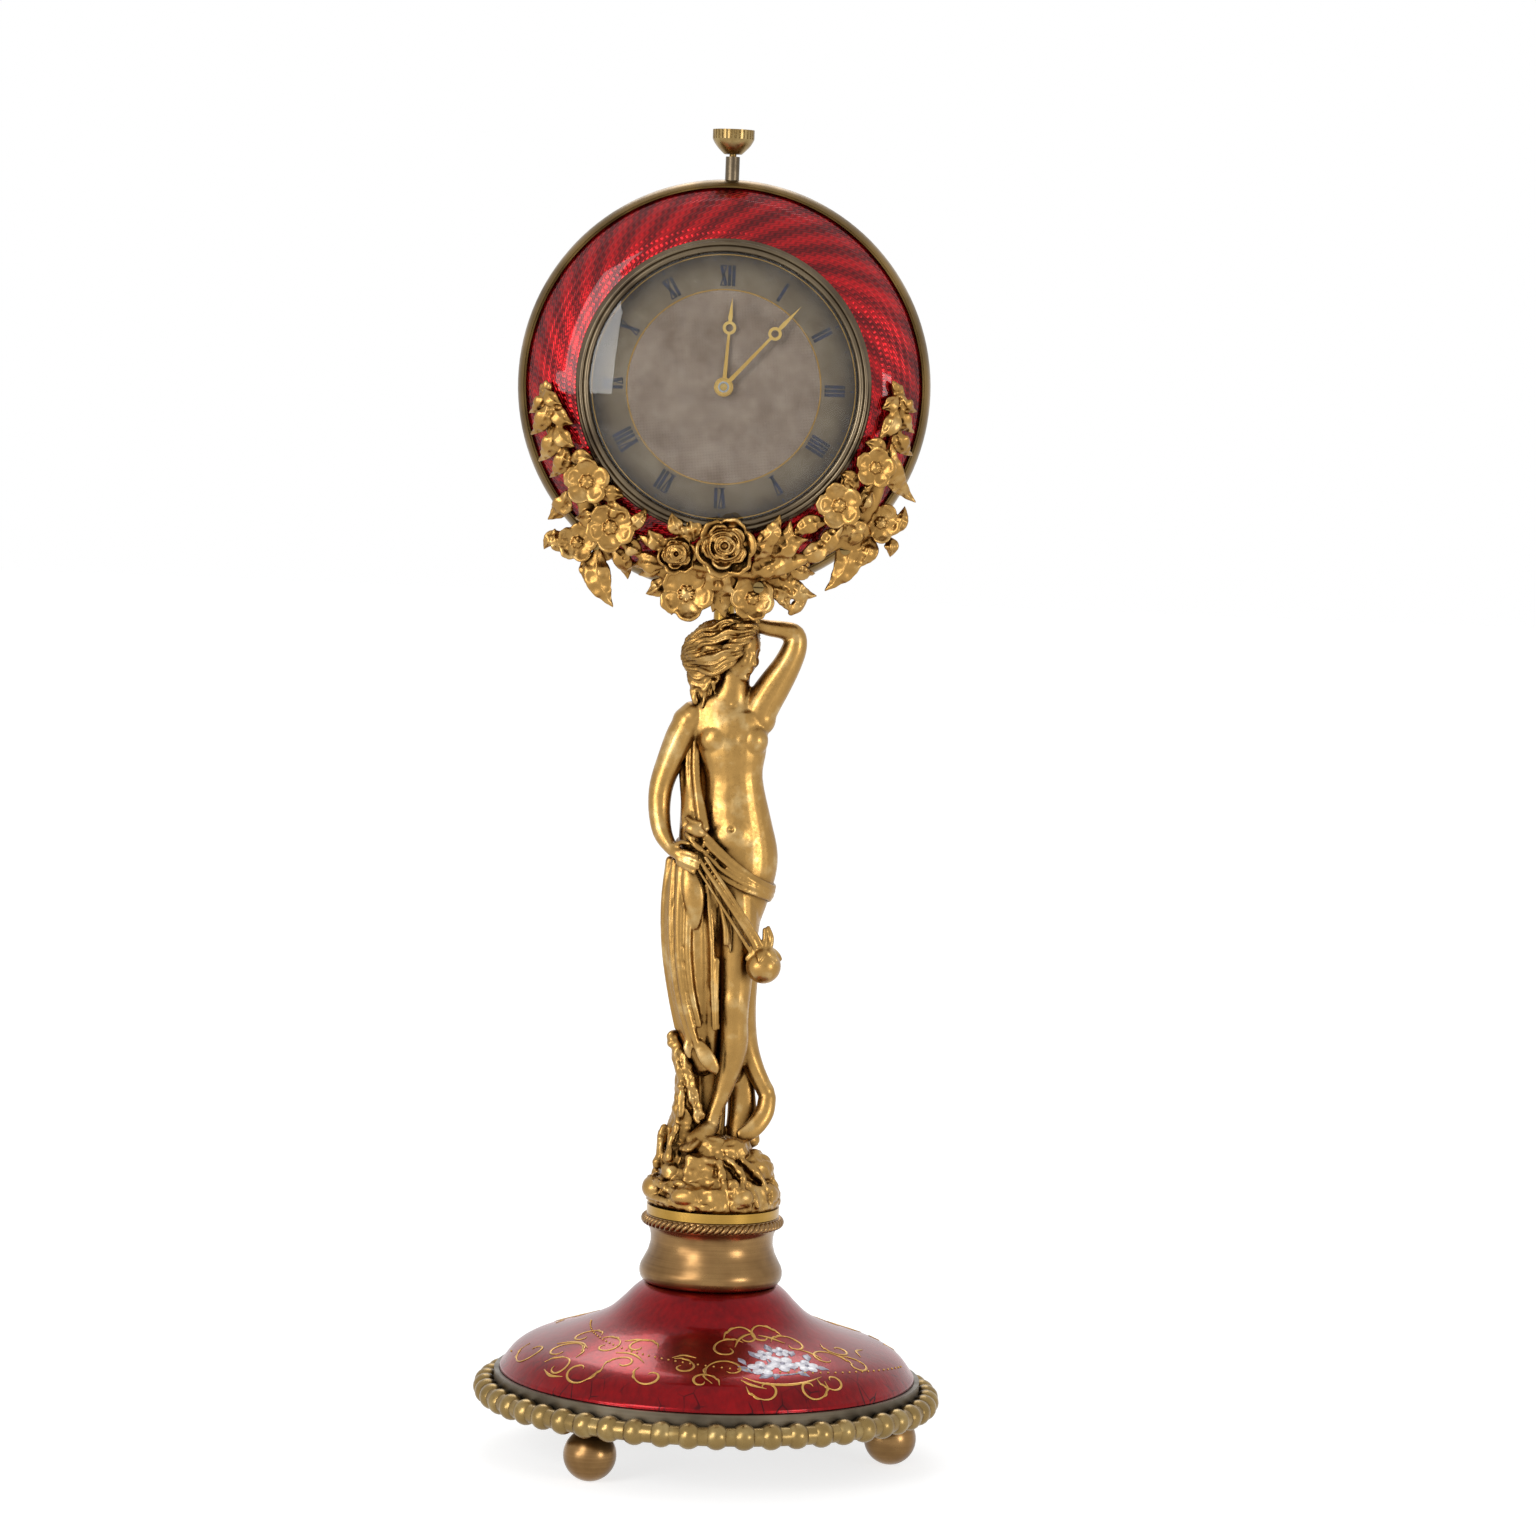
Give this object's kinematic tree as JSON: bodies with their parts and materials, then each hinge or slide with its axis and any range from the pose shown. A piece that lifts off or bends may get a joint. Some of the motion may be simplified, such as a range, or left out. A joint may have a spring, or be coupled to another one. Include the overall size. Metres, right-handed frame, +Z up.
{
  "type": "table clock",
  "caption": "Figural table clock: a small round watch-like clock with flower garlands, held up by a standing figure on an enamelled bell foot with ball feet.",
  "frame": {"origin": "on the table under the middle of the round foot", "axes": "+Z up, the dial faces -Y, +X to the viewer's right"},
  "size_m": [0.067, 0.067, 0.1895],
  "materials": {
    "bead_bronze": "antique patinated bronze",
    "rim_nickel": "tarnished nickel plate",
    "red_enamel": "glossy red enamel",
    "gilt_bronze": "gilt bronze with dark recesses",
    "gilt_brass": "gilt brass",
    "aged_brass": "aged brass",
    "silvered_brass": "silvered brass",
    "crystal_glass": "clear polished glass",
    "dial_silver": "silvered engine-turned brass",
    "hand_gilt": "gilt",
    "plate_gilt": "frosted gilt",
    "train_brass": "polished brass",
    "polished_steel": "polished steel",
    "blued_steel": "blued steel",
    "crown_bronze": "dark antique bronze",
    "plain_steel": "plain steel",
    "spacer_brass": "turned brass",
    "screw_brass": "turned brass"
  },
  "bodies": {
    "stand_and_case": {"ball_feet": "bead_bronze", "base_plate": "rim_nickel", "bead_ring": "bead_bronze", "dome_rim": "rim_nickel", "enamel_dome": "red_enamel", "spool_collar": "bead_bronze", "plinth_plate": "gilt_brass", "flange_nut": "plain_steel", "tie_rod": "plain_steel", "spacer_tube": "spacer_brass", "standing_figure": "gilt_bronze", "horn": "gilt_bronze", "rock_mound": "gilt_bronze", "drum_case": "aged_brass", "case_rim": "aged_brass", "front_enamel_ring": "red_enamel", "back_enamel_ring": "red_enamel", "front_bezel": "silvered_brass", "crystal": "crystal_glass", "dial": "dial_silver", "pendant_tube": "gilt_brass", "hinge_pin": "polished_steel", "main_plate": "plate_gilt", "barrel_bridge": "plate_gilt", "train_bridge": "plate_gilt", "balance_cock": "plate_gilt", "pallet_bridge": "plate_gilt", "bridge_screws": "blued_steel", "garland_left": "gilt_bronze", "garland_centre": "gilt_bronze", "garland_right": "gilt_bronze", "garland_screws": "screw_brass", "clock_cradle": "gilt_brass", "cradle_screws": "screw_brass"},
    "minute_hand_body": {"minute_hand": "hand_gilt", "cannon_pinion": "polished_steel"},
    "hour_hand_body": {"hour_hand": "hand_gilt", "hour_wheel": "train_brass"},
    "minute_wheel_body": {"minute_wheel": "train_brass"},
    "centre_wheel_body": {"centre_wheel": "train_brass"},
    "third_wheel_body": {"third_wheel": "train_brass"},
    "fourth_wheel_body": {"fourth_wheel": "train_brass"},
    "escape_wheel_body": {"escape_wheel": "polished_steel"},
    "barrel_body": {"mainspring_barrel": "train_brass", "barrel_cover": "train_brass", "mainspring": "blued_steel"},
    "ratchet_body": {"ratchet_wheel": "polished_steel", "ratchet_screw": "blued_steel", "barrel_arbor": "polished_steel"},
    "crown_wheel_body": {"crown_wheel": "polished_steel"},
    "winding_pinion_body": {"winding_pinion": "polished_steel"},
    "setting_body": {"setting_detent": "polished_steel"},
    "crown_body": {"crown": "crown_bronze", "winding_stem": "polished_steel"},
    "click_body": {"click": "polished_steel"},
    "balance_body": {"balance_wheel": "train_brass", "hairspring": "blued_steel"},
    "pallet_fork_body": {"pallet_fork": "polished_steel"},
    "regulator_body": {"regulator_lever": "polished_steel"},
    "back_cover_body": {"back_cover": "gilt_brass"}
  },
  "joints": [
    {"name": "fourth_wheel_turn", "type": "hinge", "parent": "stand_and_case", "child": "fourth_wheel_body", "pos_m": [-0.00583, 0, 0.14471], "axis": [0, 1, 0], "continuous": true},
    {"name": "third_wheel_turn", "type": "hinge", "parent": "stand_and_case", "child": "third_wheel_body", "pos_m": [-0.00767, 0, 0.14979], "axis": [0, 1, 0], "continuous": true},
    {"name": "centre_wheel_turn", "type": "hinge", "parent": "stand_and_case", "child": "centre_wheel_body", "pos_m": [-0.0028, 0, 0.1532], "axis": [0, 1, 0], "continuous": true},
    {"name": "barrel_turn", "type": "hinge", "parent": "stand_and_case", "child": "barrel_body", "pos_m": [0.00531, 0, 0.1554], "axis": [0, 1, 0], "continuous": true},
    {"name": "escape_wheel_turn", "type": "hinge", "parent": "stand_and_case", "child": "escape_wheel_body", "pos_m": [-0.00106, 0, 0.14387], "axis": [0, 1, 0], "continuous": true},
    {"name": "minute_hand_turn", "type": "hinge", "parent": "stand_and_case", "child": "minute_hand_body", "pos_m": [-0.0028, 0, 0.1532], "axis": [0, 1, 0], "continuous": true},
    {"name": "minute_wheel_turn", "type": "hinge", "parent": "stand_and_case", "child": "minute_wheel_body", "pos_m": [-0.005, 0, 0.15701], "axis": [0, 1, 0], "continuous": true},
    {"name": "hour_hand_turn", "type": "hinge", "parent": "stand_and_case", "child": "hour_hand_body", "pos_m": [-0.0028, 0, 0.1532], "axis": [0, 1, 0], "continuous": true},
    {"name": "crown_pull", "type": "slide", "parent": "stand_and_case", "child": "setting_body", "axis": [0, 0, 1], "range_m": [0, 0.0012]},
    {"name": "crown_turn", "type": "hinge", "parent": "setting_body", "child": "crown_body", "pos_m": [-0.0028, 0, 0.1532], "axis": [0, 0, 1], "continuous": true},
    {"name": "winding_pinion_turn", "type": "hinge", "parent": "stand_and_case", "child": "winding_pinion_body", "pos_m": [-0.0028, 0, 0.1532], "axis": [0, 0, 1], "continuous": true},
    {"name": "crown_wheel_turn", "type": "hinge", "parent": "stand_and_case", "child": "crown_wheel_body", "pos_m": [-0.0028, 0, 0.1632], "axis": [0, 1, 0], "continuous": true},
    {"name": "ratchet_turn", "type": "hinge", "parent": "stand_and_case", "child": "ratchet_body", "pos_m": [0.00531, 0, 0.1554], "axis": [0, 1, 0], "continuous": true},
    {"name": "click_lift", "type": "hinge", "parent": "stand_and_case", "child": "click_body", "pos_m": [0.00751, 0, 0.16362], "axis": [0, 1, 0], "range_deg": [0, 12], "stiffness_Nm_per_rad": 0.00001},
    {"name": "balance_swing", "type": "hinge", "parent": "stand_and_case", "child": "balance_body", "pos_m": [0.00514, 0, 0.14162], "axis": [0, 1, 0], "range_deg": [-135, 135], "stiffness_Nm_per_rad": 0.0000005},
    {"name": "pallet_fork_rock", "type": "hinge", "parent": "stand_and_case", "child": "pallet_fork_body", "pos_m": [0.00204, 0, 0.14274], "axis": [0, 1, 0], "range_deg": [-5, 5]},
    {"name": "regulator_shift", "type": "hinge", "parent": "stand_and_case", "child": "regulator_body", "pos_m": [0.00514, 0, 0.14162], "axis": [0, 1, 0], "range_deg": [-20, 20]},
    {"name": "back_cover_open", "type": "hinge", "parent": "stand_and_case", "child": "back_cover_body", "pos_m": [-0.0247, 0.00545, 0.1532], "axis": [0, 0, 1], "range_deg": [0, 110]}
  ],
  "couplings": [
    {"joint": "third_wheel_turn", "follows": "fourth_wheel_turn", "ratio": -0.125},
    {"joint": "centre_wheel_turn", "follows": "fourth_wheel_turn", "ratio": 0.016667},
    {"joint": "barrel_turn", "follows": "fourth_wheel_turn", "ratio": -0.0027778},
    {"joint": "escape_wheel_turn", "follows": "fourth_wheel_turn", "ratio": -10},
    {"joint": "minute_hand_turn", "follows": "fourth_wheel_turn", "ratio": 0.016667},
    {"joint": "minute_wheel_turn", "follows": "fourth_wheel_turn", "ratio": -0.0055556},
    {"joint": "hour_hand_turn", "follows": "fourth_wheel_turn", "ratio": 0.0013889},
    {"joint": "winding_pinion_turn", "follows": "crown_turn", "ratio": 1},
    {"joint": "crown_wheel_turn", "follows": "crown_turn", "ratio": -0.46667},
    {"joint": "ratchet_turn", "follows": "crown_turn", "ratio": 0.31111},
    {"joint": "pallet_fork_rock", "follows": "balance_swing", "ratio": -0.037037}
  ]
}
